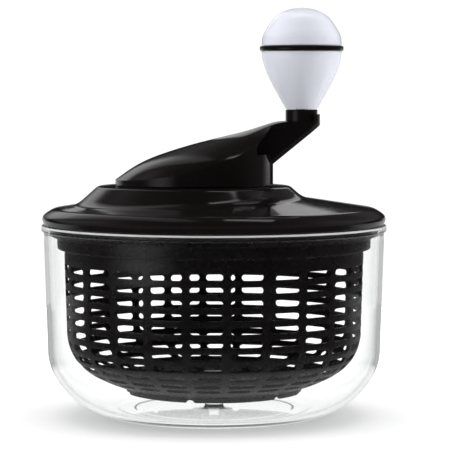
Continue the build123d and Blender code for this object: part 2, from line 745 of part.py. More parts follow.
# What belongs to the cover: a strip down the arm's underside and the hub's bottom plate
with BuildPart() as cover_region:
    strip_start = Vector(*UNDERSIDE_START) + slope_in * COVER_THICKNESS
    strip_end = Vector(*UNDERSIDE_END) + slope_in * COVER_THICKNESS + slope_up * 12
    with BuildSketch(Plane.XZ):
        with BuildLine():
            FilletPolyline(
                (UNDERSIDE_START[0] - 5.6, HUB_BOTTOM - 1),
                (UNDERSIDE_START[0] - 5.2, HUB_BOTTOM + 9),
                strip_start,
                strip_end,
                (120, strip_end.Y),
                radius=[10, 3, 2],
            )
            Polyline((120, strip_end.Y), (120, HUB_BOTTOM - 1), (UNDERSIDE_START[0] - 5.6, HUB_BOTTOM - 1))
        make_face()
    extrude(amount=80, both=True)
    with BuildSketch(Plane.XY.offset(HUB_BOTTOM - 1)):
        with Locations((CRANK_X, 0)):
            Circle(COVER_PLATE_RADIUS)
    extrude(amount=CRANK_COVER_PLATE + 1)

# ---------------------------------------------------------------- crank shell
with BuildPart() as crank_hollow:
    for height, left, right, half_width in CRANK_SECTIONS[:6]:
        with BuildSketch(Plane.XY.offset(height - CRANK_WALL)):
            add(crank_section(left + CRANK_WALL, right - CRANK_WALL, half_width - CRANK_WALL))
    loft()
    with BuildSketch(Plane.XY.offset(HUB_BOTTOM - 3)):
        with Locations((CRANK_X, 0)):
            Circle(HUB_RADIUS - CRANK_WALL)
        with Locations((HOLLOW_END + 50, 0)):
            Rectangle(100, 200, mode=Mode.SUBTRACT)
    extrude(amount=60, mode=Mode.INTERSECT)

with BuildPart() as crank_posts:
    with BuildSketch(Plane.XY.offset(HUB_BOTTOM + CRANK_COVER_PLATE)):
        with Locations((CRANK_X, 0)):
            Circle(SHAFT_RADIUS + 4)
            with PolarLocations(COVER_SCREW_CIRCLE, 3, start_angle=60):
                Circle(3.5)
    extrude(amount=40)
    add(crank_body.part, mode=Mode.INTERSECT)

with BuildPart() as crank_shell:
    add(crank_body.part)
    add(cover_region.part, mode=Mode.SUBTRACT)
    add(crank_hollow.part, mode=Mode.SUBTRACT)
    add(crank_posts.part)
    with BuildSketch(Plane.XY.offset(HUB_BOTTOM)):
        with Locations((CRANK_X, 0)):
            Circle(SHAFT_RADIUS)
    extrude(amount=SHAFT_TOP - HUB_BOTTOM, mode=Mode.SUBTRACT)
    with BuildSketch(Plane.XY.offset(HUB_BOTTOM)):
        with Locations((CRANK_X, 0)):
            with PolarLocations(COVER_SCREW_CIRCLE, 3, start_angle=60):
                Circle(1.2)
    extrude(amount=10, mode=Mode.SUBTRACT)
    with BuildSketch(Plane.XY.offset(AXLE_BOTTOM)):
        with Locations((KNOB_X, 0)):
            Circle(AXLE_RADIUS)
    extrude(amount=30, mode=Mode.SUBTRACT)
write(crank_shell, "crank_shell")

# ---------------------------------------------------------------- crank cover and its screws
with BuildPart() as crank_cover:
    add(crank_body.part)
    add(cover_region.part, mode=Mode.INTERSECT)
    with BuildSketch(Plane.XY.offset(HUB_BOTTOM - 1)):
        with Locations((CRANK_X, 0)):
            Circle(SHAFT_RADIUS + 0.2)
            with PolarLocations(COVER_SCREW_CIRCLE, 3, start_angle=60):
                Circle(1.2)
    extrude(amount=5, mode=Mode.SUBTRACT)
    with BuildSketch(Plane.XY.offset(HUB_BOTTOM - 1)):
        with Locations((CRANK_X, 0)):
            with PolarLocations(COVER_SCREW_CIRCLE, 3, start_angle=60):
                Circle(3)
    extrude(amount=2.2, mode=Mode.SUBTRACT)
write(crank_cover, "crank_cover")

with BuildPart() as crank_cover_screws:
    for height, radius, length in ((HUB_BOTTOM + 0.2, 2.9, 1.0), (HUB_BOTTOM + 1.2, 1.2, 8.0)):
        with BuildSketch(Plane.XY.offset(height)):
            with Locations((CRANK_X, 0)):
                with PolarLocations(COVER_SCREW_CIRCLE, 3, start_angle=60):
                    Circle(radius)
        extrude(amount=length)
    with BuildSketch(Plane.XY.offset(HUB_BOTTOM + 0.2)):
        with Locations((CRANK_X, 0)):
            with PolarLocations(COVER_SCREW_CIRCLE, 3, start_angle=60):
                Rectangle(3.2, 0.7)
                Rectangle(0.7, 3.2)
    extrude(amount=0.6, mode=Mode.SUBTRACT)
write(crank_cover_screws, "crank_cover_screws")

# ---------------------------------------------------------------- knob collar, axle and clip
with BuildPart() as knob_collar:
    with BuildSketch(Plane.XY.offset(ARM_TOP)):
        with Locations((KNOB_X, 0)):
            Circle(COLLAR_KNOB_RADIUS)
            Circle(AXLE_RADIUS, mode=Mode.SUBTRACT)
    extrude(amount=KNOB_COLLAR_TOP - ARM_TOP)
    fillet(knob_collar.edges().group_by(Axis.Z)[-1].sort_by(SortBy.RADIUS)[-1], radius=0.8)
write(knob_collar, "knob_collar")

with BuildPart() as knob_axle:
    with BuildSketch(Plane.XY.offset(AXLE_BOTTOM)):
        with Locations((KNOB_X, 0)):
            Circle(AXLE_RADIUS)
    extrude(amount=CLIP_BOTTOM - AXLE_BOTTOM)
    with BuildSketch(Plane.XY.offset(CLIP_BOTTOM)):
        with Locations((KNOB_X, 0)):
            Circle(AXLE_RADIUS - 1)
    extrude(amount=1.2)
    with BuildSketch(Plane.XY.offset(CLIP_BOTTOM + 1.2)):
        with Locations((KNOB_X, 0)):
            Circle(AXLE_RADIUS)
    extrude(amount=2.5)
    chamfer(knob_axle.edges().group_by(Axis.Z)[-1], length=0.6)
write(knob_axle, "knob_axle")

with BuildPart() as knob_clip:
    with BuildSketch(Plane.XY.offset(CLIP_BOTTOM)):
        with Locations((KNOB_X, 0)):
            Circle(AXLE_RADIUS + 4)
            Circle(AXLE_RADIUS - 1, mode=Mode.SUBTRACT)
            with Locations((AXLE_RADIUS + 2, 0)):
                Rectangle(2 * AXLE_RADIUS, 5, mode=Mode.SUBTRACT)
    extrude(amount=1.2)
write(knob_clip, "knob_clip")

# ---------------------------------------------------------------- knob
knob_plane = Plane(origin=(KNOB_X, 0, 0), x_dir=(1, 0, 0), z_dir=(0, -1, 0))
knob_axis = Axis((KNOB_X, 0, 0), (0, 0, 1))
knob_bottom = KNOB_COLLAR_TOP + GAP
ring_bottom = KNOB_SPLIT - RING_HALF_HEIGHT
ring_top = KNOB_SPLIT + RING_HALF_HEIGHT

with BuildPart() as knob_lower:
    with BuildSketch(knob_plane):
        with BuildLine():
            Line((AXLE_RADIUS + FIT, knob_bottom), (KNOB_NECK_RADIUS, knob_bottom))
            Spline(
                (KNOB_NECK_RADIUS, knob_bottom),
                (16.3, 231.0),
                (21.0, 239.7),
                (25.2, 248.4),
                (KNOB_RADIUS, ring_bottom),
                tangents=[(0.45, 1), (0, 1)],
            )
            Polyline(
                (KNOB_RADIUS, ring_bottom),
                (KNOB_RADIUS - KNOB_WALL, ring_bottom),
                (KNOB_RADIUS - KNOB_WALL, 259),
                (22.2, 248),
                (17.5, 238.5),
                (13.0, 231.5),
                (8.0, 227.5),
                (8.0, CLIP_BOTTOM - GAP),
                (AXLE_RADIUS + FIT, CLIP_BOTTOM - GAP),
                (AXLE_RADIUS + FIT, knob_bottom),
            )
        make_face()
    revolve(axis=knob_axis)
write(knob_lower, "knob_lower")

with BuildPart() as knob_upper:
    with BuildSketch(knob_plane):
        with BuildLine():
            Spline(
                (KNOB_RADIUS, ring_top),
                (24.6, 281.7),
                (15.4, 291.7),
                (0, KNOB_TOP),
                tangents=[(0, 1), (-1, 0)],
            )
            Polyline(
                (0, KNOB_TOP),
                (0, KNOB_TOP - KNOB_WALL),
                (13.6, 289.2),
                (22.0, 280.2),
                (24.0, 272.0),
                (24.0, SPIGOT_BOTTOM),
                (KNOB_RADIUS - KNOB_WALL - 0.1, SPIGOT_BOTTOM),
                (KNOB_RADIUS - KNOB_WALL - 0.1, ring_bottom + 0.1),
                (RING_SEAT_RADIUS, ring_bottom + 0.1),
                (RING_SEAT_RADIUS, ring_top),
                (KNOB_RADIUS, ring_top),
            )
        make_face()
    revolve(axis=knob_axis)
write(knob_upper, "knob_upper")

with BuildPart() as knob_ring:
    with BuildSketch(knob_plane):
        with Locations(((RING_SEAT_RADIUS + RING_RADIUS) / 2, KNOB_SPLIT)):
            RectangleRounded(
                RING_RADIUS - RING_SEAT_RADIUS, 2 * RING_HALF_HEIGHT - 0.2, 1.2
            )
    revolve(axis=knob_axis)
write(knob_ring, "knob_ring")
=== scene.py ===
import json
from math import acos, cos, degrees, hypot, pi, radians, sin, sqrt
import bmesh
import bpy
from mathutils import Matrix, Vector


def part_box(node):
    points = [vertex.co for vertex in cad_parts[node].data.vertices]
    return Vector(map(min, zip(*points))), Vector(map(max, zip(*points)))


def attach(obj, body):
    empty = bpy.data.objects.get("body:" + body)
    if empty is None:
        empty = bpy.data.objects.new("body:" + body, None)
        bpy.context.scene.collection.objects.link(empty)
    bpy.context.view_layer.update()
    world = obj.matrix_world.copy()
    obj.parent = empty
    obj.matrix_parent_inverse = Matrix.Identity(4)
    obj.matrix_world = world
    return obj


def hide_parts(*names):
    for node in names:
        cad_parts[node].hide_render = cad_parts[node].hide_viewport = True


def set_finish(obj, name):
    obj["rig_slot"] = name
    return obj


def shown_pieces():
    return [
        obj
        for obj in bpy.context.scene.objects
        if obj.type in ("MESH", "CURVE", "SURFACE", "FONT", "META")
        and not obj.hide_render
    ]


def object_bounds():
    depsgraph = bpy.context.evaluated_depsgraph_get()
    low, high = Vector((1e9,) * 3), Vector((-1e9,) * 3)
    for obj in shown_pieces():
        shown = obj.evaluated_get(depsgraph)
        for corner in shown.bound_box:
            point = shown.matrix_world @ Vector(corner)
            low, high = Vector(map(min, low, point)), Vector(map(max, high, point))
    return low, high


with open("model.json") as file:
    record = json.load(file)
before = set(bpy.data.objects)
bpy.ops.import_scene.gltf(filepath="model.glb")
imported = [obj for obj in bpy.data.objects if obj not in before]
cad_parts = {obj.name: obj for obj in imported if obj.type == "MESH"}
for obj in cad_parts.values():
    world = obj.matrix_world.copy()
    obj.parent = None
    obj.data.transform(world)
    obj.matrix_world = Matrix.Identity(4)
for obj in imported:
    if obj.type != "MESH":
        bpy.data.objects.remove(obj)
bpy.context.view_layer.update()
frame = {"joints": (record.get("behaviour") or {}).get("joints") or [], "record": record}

# Outlines and meshes are in millimetres, like the CAD, until mesh_piece() turns them into metres.
# Materials and the stage are in metres.
MM = 0.001
AROUND = 192               # segments round the basket: eight to each column of slots


# ---------------------------------------------------------------- places read from the frame
def centre_mm(node):
    low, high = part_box(node)
    return (low + high) / 2 / MM


def top_mm(node):
    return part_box(node)[1].z / MM


def bottom_mm(node):
    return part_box(node)[0].z / MM


JOINT_PLACE = {joint["name"]: joint.get("pos_m") for joint in frame["joints"]}
CRANK_X = JOINT_PLACE["crank_spin"][0] / MM
KNOB_X = JOINT_PLACE["knob_spin"][0] / MM
RIM_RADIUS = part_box("bowl")[1].x / MM
BOWL_HEIGHT = top_mm("bowl")
BASKET_TOP = top_mm("basket")
KNOB_TOP = top_mm("knob_upper")
KNOB_SPLIT = centre_mm("knob_ring").z
DOME_X = centre_mm("gear_cover").x


# ---------------------------------------------------------------- outlines
def angles(segments):
    """Evenly spaced directions of a full turn."""
    return [2 * pi * step / segments for step in range(segments)]


def arc(x, z, radius, start, end, steps):
    """Points on an arc; 0 degrees points down and 90 outwards."""
    turns = [radians(start + (end - start) * step / steps) for step in range(steps + 1)]
    return [(x + radius * sin(turn), z - radius * cos(turn)) for turn in turns]


def rounded(points, radii, steps=5):
    """An open line through points whose inner corners are rounded."""
    line = [points[0]]
    for before, corner, after, radius in zip(points, points[1:], points[2:], radii):
        here = Vector(corner)
        back = (Vector(before) - here).normalized()
        ahead = (Vector(after) - here).normalized()
        half = acos(max(-1.0, min(1.0, back.dot(ahead)))) / 2
        reach = radius / max(sin(half) / max(cos(half), 1e-6), 1e-6)
        first = here + back * reach
        last = here + ahead * reach
        for step in range(steps + 1):
            t = step / steps
            point = first * (1 - t) ** 2 + here * 2 * t * (1 - t) + last * t**2
            line.append(tuple(point))
    line.append(points[-1])
    return line


def through(points, steps=8):
    """A smooth line through points (Catmull-Rom)."""
    ends = [2 * Vector(points[0]) - Vector(points[1])]
    ends += [Vector(point) for point in points]
    ends.append(2 * Vector(points[-1]) - Vector(points[-2]))
    line = []
    for a, b, c, d in zip(ends, ends[1:], ends[2:], ends[3:]):
        for step in range(steps):
            t = step / steps
            line.append(tuple(0.5 * (
                2 * b + (c - a) * t + (2 * a - 5 * b + 4 * c - d) * t**2
                + (3 * b - a - 3 * c + d) * t**3
            )))
    line.append(tuple(points[-1]))
    return line


# ---------------------------------------------------------------- meshes
def mesh_piece(name, verts, faces, body, nodes, slot, sharp=35, axis_x=0.0):
    """One clean mesh that rides on a body, stands in for CAD nodes and wears a slot's material."""
    mesh = bpy.data.meshes.new(name)
    mesh.from_pydata([((x + axis_x) * MM, y * MM, z * MM) for x, y, z in verts], [], faces)
    work = bmesh.new()
    work.from_mesh(mesh)
    bmesh.ops.remove_doubles(work, verts=work.verts, dist=2e-6)
    bmesh.ops.dissolve_degenerate(work, edges=work.edges, dist=1e-6)
    bare = [edge for edge in work.edges if not edge.link_faces]
    bmesh.ops.delete(work, geom=bare, context="EDGES")
    bmesh.ops.recalc_face_normals(work, faces=work.faces)
    work.to_mesh(mesh)
    work.free()
    mesh.shade_smooth()
    mesh.set_sharp_from_angle(angle=radians(sharp))
    piece = bpy.data.objects.new(name, mesh)
    bpy.context.scene.collection.objects.link(piece)
    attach(piece, body)
    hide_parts(*nodes)
    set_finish(piece, slot)
    return piece


def grid_faces(rows, columns, start=0, closed_rows=True):
    """Quads between neighbouring rings of points, each ring closed on itself."""
    faces = []
    for row in range(rows if closed_rows else rows - 1):
        for column in range(columns):
            ahead = (column + 1) % columns
            above = (row + 1) % rows
            faces.append((
                start + row * columns + column, start + row * columns + ahead,
                start + above * columns + ahead, start + above * columns + column,
            ))
    return faces


def turned(outline, segments, start=0, closed=True):
    """A closed outline of (radius, height) turned about the axis."""
    verts = []
    for radius, height in outline:
        for step in range(segments):
            turn = 2 * pi * step / segments
            verts.append((radius * cos(turn), radius * sin(turn), height))
    return verts, grid_faces(len(outline), segments, start, closed)


# ---------------------------------------------------------------- clear bowl
BOWL_WALL = 3.0
LOW_X = 65.2
LOW_RADIUS = 58.0
HIGH_X = 80.2
HIGH_Z = 48.9
HIGH_RADIUS = 40.5
BOWL_SPLIT = 58.8
NECK = 123.4
NECK_Z = BOWL_HEIGHT - 5.0


def build_bowl():
    outside = [(0.0, 0.9), (54.0, 0.9)] + rounded([(55, 0.9), (57.0, 0.9), (58.5, 0.0), (62, 0)], [0.8, 0.8])
    outside += arc(LOW_X, LOW_RADIUS, LOW_RADIUS, 0, BOWL_SPLIT, 24)
    outside += arc(HIGH_X, HIGH_Z, HIGH_RADIUS, BOWL_SPLIT, 90, 16)[1:]
    wall = HIGH_X + HIGH_RADIUS
    for step in range(1, 12):
        share = step / 12
        outside.append((wall + (NECK - wall) * share, HIGH_Z + (NECK_Z - HIGH_Z) * share))
    rim = rounded(
        [
            (NECK - 0.2, NECK_Z - 2.0), (NECK, NECK_Z), (RIM_RADIUS, NECK_Z + 1.0),
            (RIM_RADIUS, BOWL_HEIGHT), (NECK - BOWL_WALL, BOWL_HEIGHT),
            (NECK - BOWL_WALL, NECK_Z),
        ],
        [0.8, 0.8, 1.1, 1.1], 6,
    )
    inside = []
    for step in range(0, 12):
        share = 1 - step / 12
        inside.append((wall - BOWL_WALL + (NECK - wall) * share, HIGH_Z + (NECK_Z - HIGH_Z) * share))
    inside += arc(HIGH_X, HIGH_Z, HIGH_RADIUS - BOWL_WALL, 90, BOWL_SPLIT, 16)
    inside += arc(LOW_X, LOW_RADIUS, LOW_RADIUS - BOWL_WALL, BOWL_SPLIT, 20, 16)[1:]
    inside += rounded([inside[-1], (72.0, 4.0), (60.0, 4.0)], [12.0], 10)[1:]
    post = rounded([(20, 4.0), (7.0, 4.0), (4.5, 22.0), (4.4, 26.0), (0.0, 26.0)], [1.2, 2.0, 3.6])
    verts, faces = turned(outside + rim + inside + post, 256)
    return mesh_piece("bowl_clear", verts, faces, "bowl", ["bowl"], "clear_plastic", sharp=50)


# ---------------------------------------------------------------- basket
COLUMNS = 24
COLUMN_ANGLE = 12.5
ROWS = 11
ROW_PITCH = 9.22
FIRST_ROW_Z = 109.1
SLOT_HEIGHT = 4.7
SLOT_RIB = 5.2
BASKET_WALL = 2.0
EDGE_ROUND = 0.35
WALL_TOP = (108.5, 116.7)
ARC_START = (106.9, 62.6)
ARC_RADIUS = 37.5
ARC_SWEEP = radians(61.35)
FLOOR_RADIUS = 132.0
CORNER_REST = 15.1         # along the surface from the last row to the flat floor
FLOOR_Z = 19.7
NOTCH_RADIUS = 114.4
NOTCH_CENTRE = -92.5
FOOT_ARCH = -105.0


def basket_surface(down):
    """Radius, height and outward normal of the basket's outside, down millimetres below the first row."""
    straight = FIRST_ROW_Z - ARC_START[1]
    if down <= straight:
        share = down / straight
        slope = (WALL_TOP[0] - ARC_START[0]) / (WALL_TOP[1] - ARC_START[1])
        height = FIRST_ROW_Z - down
        return ARC_START[0] + slope * (height - ARC_START[1]), height, (1.0, 0.0)
    centre = (ARC_START[0] - ARC_RADIUS, ARC_START[1])
    turn = (down - straight) / ARC_RADIUS
    if turn <= ARC_SWEEP:
        normal = (cos(turn), -sin(turn))
        return centre[0] + ARC_RADIUS * normal[0], centre[1] + ARC_RADIUS * normal[1], normal
    flat_turn = ARC_SWEEP + (turn - ARC_SWEEP) * ARC_RADIUS / FLOOR_RADIUS
    normal = (cos(flat_turn), -sin(flat_turn))
    reach = FLOOR_RADIUS - ARC_RADIUS
    x = centre[0] - reach * cos(ARC_SWEEP) + FLOOR_RADIUS * normal[0]
    z = centre[1] + reach * sin(ARC_SWEEP) + FLOOR_RADIUS * normal[1]
    return x, z, normal


def basket_point(turn, down, depth):
    """A point in the basket's wall, depth below its outside."""
    radius, height, normal = basket_surface(down)
    radius -= depth * normal[0]
    height -= depth * normal[1]
    return radius * cos(turn), radius * sin(turn), height


def slot_cell(column, row):
    """Points of one slot's cell: cell edge, then the slot's outline through the wall, then cell edge."""
    middle = radians(COLUMN_ANGLE + column * 360 / COLUMNS)
    down = row * ROW_PITCH
    radius = basket_surface(down)[0]
    half_turn = pi / COLUMNS
    half_slot = (radius * 2 * pi / COLUMNS - SLOT_RIB) / 2
    end = SLOT_HEIGHT / 2
    across = AROUND // COLUMNS
    up = 8
    frame_line = []
    slot_line = []
    for step in range(across):
        share = -1 + 2 * step / across
        frame_line.append((share * half_turn * radius, -ROW_PITCH / 2))
        slot_line.append((share * (half_slot - end), -end))
    for step in range(up):
        share = -1 + 2 * step / up
        frame_line.append((half_turn * radius, share * ROW_PITCH / 2))
        slot_line.append((half_slot - end + end * cos(share * pi / 2), end * sin(share * pi / 2)))
    for x, v in list(zip(frame_line, slot_line)):
        frame_line.append((-x[0], -x[1]))
        slot_line.append((-v[0], -v[1]))

    def spread(amount):
        """The slot's outline moved outwards by amount."""
        points = []
        for x, v in slot_line:
            core = max(-(half_slot - end), min(half_slot - end, x))
            length = hypot(x - core, v)
            points.append((core + (x - core) * (1 + amount / length), v * (1 + amount / length)))
        return points

    r = EDGE_ROUND
    wall = BASKET_WALL
    layers = [
        (frame_line, 0.0), (spread(1.4), 0.0), (spread(r), 0.0), (spread(0.29 * r), 0.29 * r),
        (slot_line, r), (slot_line, wall - r), (spread(0.29 * r), wall - 0.29 * r),
        (spread(r), wall), (spread(1.4), wall), (frame_line, wall),
    ]
    verts = []
    for line, depth in layers:
        for x, v in line:
            verts.append(basket_point(middle + x / radius, down + v, depth))
    return verts, len(layers), len(slot_line)


def basket_turn(step):
    """Direction of a step round the basket, counted from the edge between two columns of slots."""
    return radians(COLUMN_ANGLE - 180 / COLUMNS) + 2 * pi * step / AROUND


def in_notch(step):
    """Whether the segment after this step lies in one of the flange's three notches."""
    angle = degrees(basket_turn(step + 0.5)) - NOTCH_CENTRE
    return abs((angle + 60) % 120 - 60) < 15


def build_basket():
    verts = []
    faces = []
    for column in range(COLUMNS):
        for row in range(ROWS):
            cell, layers, points = slot_cell(column, row)
            faces += grid_faces(layers, points, len(verts), closed_rows=False)
            verts += cell

    # Everything above the slots, with the notches cut out of the flange
    first = basket_surface(-ROW_PITCH / 2)
    top = [(first[0], first[1])] + rounded(
        [
            (WALL_TOP[0] - 0.05, 115.0), (WALL_TOP[0], WALL_TOP[1]), (WALL_TOP[0], 120.7),
            (113.6, 122.2), (113.6, 129.7), (115.2, 130.9), (119.0, 133.0), (119.0, BASKET_TOP),
            (111.6, BASKET_TOP), (111.6, 123.4), (106.5, 121.5), (106.5, 116.7),
            (106.45, 115.0),
        ],
        [2.0, 1.0, 1.2, 0.8, 2.0, 0.7, 0.6, 0.6, 0.8, 0.8, 2.0], 4,
    )
    top.append((first[0] - BASKET_WALL, first[1]))
    for step in range(AROUND):
        lines = []
        for at, clip in ((step, in_notch(step)), (step + 1, in_notch(step))):
            turn = basket_turn(at)
            line = [(min(radius, NOTCH_RADIUS) if clip else radius, height) for radius, height in top]
            lines.append([(r * cos(turn), r * sin(turn), z) for r, z in line])
        for a, b in zip(range(len(top)), range(1, len(top))):
            faces.append(tuple(range(len(verts), len(verts) + 4)))
            verts += [lines[0][a], lines[1][a], lines[1][b], lines[0][b]]
        if in_notch(step) != in_notch(step - 1):
            turn = basket_turn(step)
            for (r0, z0), (r1, z1) in zip(top, top[1:]):
                if max(r0, r1) > NOTCH_RADIUS:
                    section = [(r0, z0), (r1, z1), (min(r1, NOTCH_RADIUS), z1), (min(r0, NOTCH_RADIUS), z0)]
                    faces.append(tuple(range(len(verts), len(verts) + 4)))
                    verts += [(r * cos(turn), r * sin(turn), z) for r, z in section]

    # The rest of the corner and the floor
    last = (ROWS - 0.5) * ROW_PITCH
    corner = [basket_surface(last + CORNER_REST * step / 6) for step in range(7)]
    below = [(radius, height) for radius, height, normal in corner]
    below += [(62.0, FLOOR_Z), (40.0, FLOOR_Z), (0.0, FLOOR_Z)]
    below += [(0.0, FLOOR_Z + BASKET_WALL), (40.0, FLOOR_Z + BASKET_WALL), (62.0, FLOOR_Z + BASKET_WALL)]
    below += [
        (radius - BASKET_WALL * normal[0], height - BASKET_WALL * normal[1])
        for radius, height, normal in reversed(corner)
    ]
    base = len(verts)
    for radius, height in below:
        for step in range(AROUND):
            turn = basket_turn(step)
            verts.append((radius * cos(turn), radius * sin(turn), height))
    faces += grid_faces(len(below), AROUND, base, closed_rows=False)

    # Foot ring with small arches, and the boss round the pivot
    ring_steps = 720
    foot = rounded(
        [(61.0, 21.0), (61.0, 16.7), (64.0, 16.7), (64.0, 21.0)], [0.6, 0.6], 4
    ) + [(62.5, 21.0)]
    base = len(verts)
    for radius, height in foot:
        for step in range(ring_steps):
            turn = 360 * step / ring_steps
            away = radians((turn - FOOT_ARCH + 30) % 60 - 30) * 62.5
            arch = 15.2 + sqrt(max(0.0, 3.5**2 - away**2))
            lift = max(0.0, arch - 16.7) if height < 18 else 0.0
            verts.append((radius * cos(radians(turn)), radius * sin(radians(turn)), height + lift))
    faces += grid_faces(len(foot), ring_steps, base)
    boss = rounded(
        [(10.0, 14.2), (12.0, 14.2), (12.0, 29.5), (8.05, 29.5), (8.05, 14.2), (10.0, 14.2)],
        [0.5, 0.8, 0.5, 0.5], 3,
    )
    boss_verts, boss_faces = turned(boss[:-1], 96, len(verts))
    verts += boss_verts
    faces += boss_faces
    return mesh_piece("basket_slotted", verts, faces, "basket", ["basket"], "basket_black", sharp=40)


# ---------------------------------------------------------------- lid
LID_SLOPE = 0.154
CONE_TOP = 168.5
LID_WALL = 2.6
DOME_HALF = [(0, 167.8), (57.0, 167.6), (69.8, 166.6), (89.0, 149.6), (97.0, 142.5)]
FOOT_BLEND = 3.2           # how softly the dome runs out into the skirt
BUSH_RADIUS = 10.0


def dome_z(radius):
    """Height of the dome at a distance from its own axis, with its top edge rounded."""
    line = rounded(DOME_HALF, [30.0, 4.6, 4.0], 10)
    for (r0, z0), (r1, z1) in zip(line, line[1:]):
        if r0 <= radius <= r1:
            return z0 + (z1 - z0) * (radius - r0) / max(r1 - r0, 1e-9)
    return line[-1][1]


def soft_max(a, b, reach):
    """The larger of two heights, blended where they are within reach of each other."""
    gap = abs(a - b)
    if gap >= reach:
        return max(a, b)
    return max(a, b) + (reach - gap) ** 2 / (4 * reach)


def lid_z(x, y):
    """Height of the lid's top: a shallow cone with the dome standing out of it."""
    skirt = CONE_TOP - LID_SLOPE * hypot(x, y)
    return soft_max(skirt, dome_z(hypot(x - DOME_X, y)), FOOT_BLEND)


def build_lid():
    segments = 256
    edge = 110.0
    dome_end = 93.0
    rings = [BUSH_RADIUS + (54.0 - BUSH_RADIUS) * step / 8 for step in range(9)]
    rings += [54.0 + (76.0 - 54.0) * step / 44 for step in range(1, 45)]
    rings += [76.0 + (dome_end - 76.0) * step / 34 for step in range(1, 35)]
    top = []
    for ring in rings:
        share = min(1.0, (ring - BUSH_RADIUS) / 20)
        middle = CRANK_X + (DOME_X - CRANK_X) * share
        top.append([(middle + ring * cos(t), ring * sin(t)) for t in angles(segments)])
    for step in range(1, 15):
        share = step / 14
        middle = DOME_X * (1 - share)
        ring = dome_end + (edge - dome_end) * share
        top.append([(middle + ring * cos(t), ring * sin(t)) for t in angles(segments)])
    verts = [(x, y, lid_z(x, y)) for ring in top for x, y in ring]

    def skirt_z(radius):
        return CONE_TOP - LID_SLOPE * radius

    lip = through(
        [(edge, skirt_z(edge)), (116, 150.5), (120.6, 148.1), (123.6, 145.6), (124.4, 143.2)], 6
    )[1:]
    lip += rounded(
        [
            (124.4, 143.0), (123.2, 139.1), (121.2, 139.1), (120.2, 143.2), (119.2, 143.2),
            (119.2, 134.9), (117.2, 134.9), (117.2, skirt_z(117.2) - 3.8),
            (edge, skirt_z(edge) - LID_WALL),
        ],
        [0.7, 0.6, 0.5, 0.4, 0.5, 0.5, 1.5], 4,
    )
    for radius, height in lip:
        verts += [(radius * cos(t), radius * sin(t), height) for t in angles(segments)]
    for ring in reversed(top[:-1]):
        verts += [(x, y, lid_z(x, y) - LID_WALL - 0.4) for x, y in ring]
    rows = len(verts) // segments
    faces = grid_faces(rows, segments)
    return mesh_piece("lid_cover", verts, faces, "lid", ["lid_shell"], "lid_black", sharp=40)


# ---------------------------------------------------------------- knob
RING_HALF = 1.95
KNOB_BOTTOM = bottom_mm("knob_lower")


def build_knob():
    split_low = KNOB_SPLIT - RING_HALF
    split_high = KNOB_SPLIT + RING_HALF
    outside = through(
        [
            (11.6, KNOB_BOTTOM + 0.6), (16.3, 231.0), (21.0, 239.7), (25.2, 248.4),
            (28.1, 257.0), (29.0, split_low - 0.5),
        ],
        10,
    )
    lower = rounded([(4.1, KNOB_BOTTOM), (11.0, KNOB_BOTTOM), (11.6, KNOB_BOTTOM + 0.6)], [0.4], 3)
    lower += outside[1:]
    lower += rounded(
        [
            (29.0, split_low - 0.5), (28.8, split_low), (26.4, split_low), (26.4, 259.0),
            (22.2, 248.0), (17.5, 238.5), (13.0, 231.5), (8.0, 227.5), (8.0, 267.0),
            (4.1, 267.0),
        ],
        [0.3, 0.4, 1, 1, 1, 1, 0.5, 0.3], 3,
    )
    verts, faces = turned(lower, 160)
    mesh_piece("knob_lower_half", verts, faces, "knob", ["knob_lower"], "knob_white", 40, KNOB_X)

    crown = through(
        [
            (29.0, split_high + 0.5), (28.2, 275.0), (24.6, 281.9), (20.4, 287.8),
            (15.4, 291.8), (8.0, KNOB_TOP - 0.9), (0.0, KNOB_TOP),
        ],
        10,
    )
    upper = [(27.6, split_high), (28.7, split_high)] + crown
    upper += [(0.0, KNOB_TOP - 2.6)] + through(
        [(13.6, 289.2), (22.0, 280.2), (24.0, 272.0)], 6
    ) + [(24.0, 259.6), (26.3, 259.6), (26.3, split_low + 0.1), (27.6, split_low + 0.1)]
    verts, faces = turned(upper, 160)
    mesh_piece("knob_upper_half", verts, faces, "knob", ["knob_upper"], "knob_white", 40, KNOB_X)

    half = RING_HALF - 0.1
    ring = rounded(
        [
            (27.7, KNOB_SPLIT), (27.7, KNOB_SPLIT - half), (30.3, KNOB_SPLIT - half),
            (30.3, KNOB_SPLIT + half), (27.7, KNOB_SPLIT + half), (27.7, KNOB_SPLIT),
        ],
        [0.3, 1.2, 1.2, 0.3], 8,
    )[:-1]
    verts, faces = turned(ring, 160)
    mesh_piece("knob_band", verts, faces, "knob", ["knob_ring"], "lid_black", 40, KNOB_X)


build_bowl()
build_basket()
build_lid()
build_knob()


# ---------------------------------------------------------------- materials
NOISE_LOW = 0.3            # where most of a noise texture's values lie
NOISE_HIGH = 0.7
BOWL_IOR = 1.27            # low, so that the bowl stays clear at its corner
RIM_HIGHLIGHT_SPAN = (1.6, 0.9)       # below the rim's top, where its edge turns from clear to a painted highlight
RIM_HIGHLIGHT_CLEAR = 0.45           # how clear the edge's painted highlight stays


def material(name):
    """A new node material with its nodes and links."""
    mat = bpy.data.materials.new(name)
    mat.use_nodes = True
    return mat, mat.node_tree.nodes, mat.node_tree.links


def noise(nodes, links, scale, detail=3.0, stretch=None):
    """A noise texture in object space."""
    place = nodes.new("ShaderNodeTexCoord")
    texture = nodes.new("ShaderNodeTexNoise")
    texture.inputs["Scale"].default_value = scale
    texture.inputs["Detail"].default_value = detail
    if stretch is None:
        links.new(place.outputs["Object"], texture.inputs["Vector"])
    else:
        shape = nodes.new("ShaderNodeMapping")
        shape.inputs["Scale"].default_value = stretch
        links.new(place.outputs["Object"], shape.inputs["Vector"])
        links.new(shape.outputs["Vector"], texture.inputs["Vector"])
    return texture.outputs["Fac"]


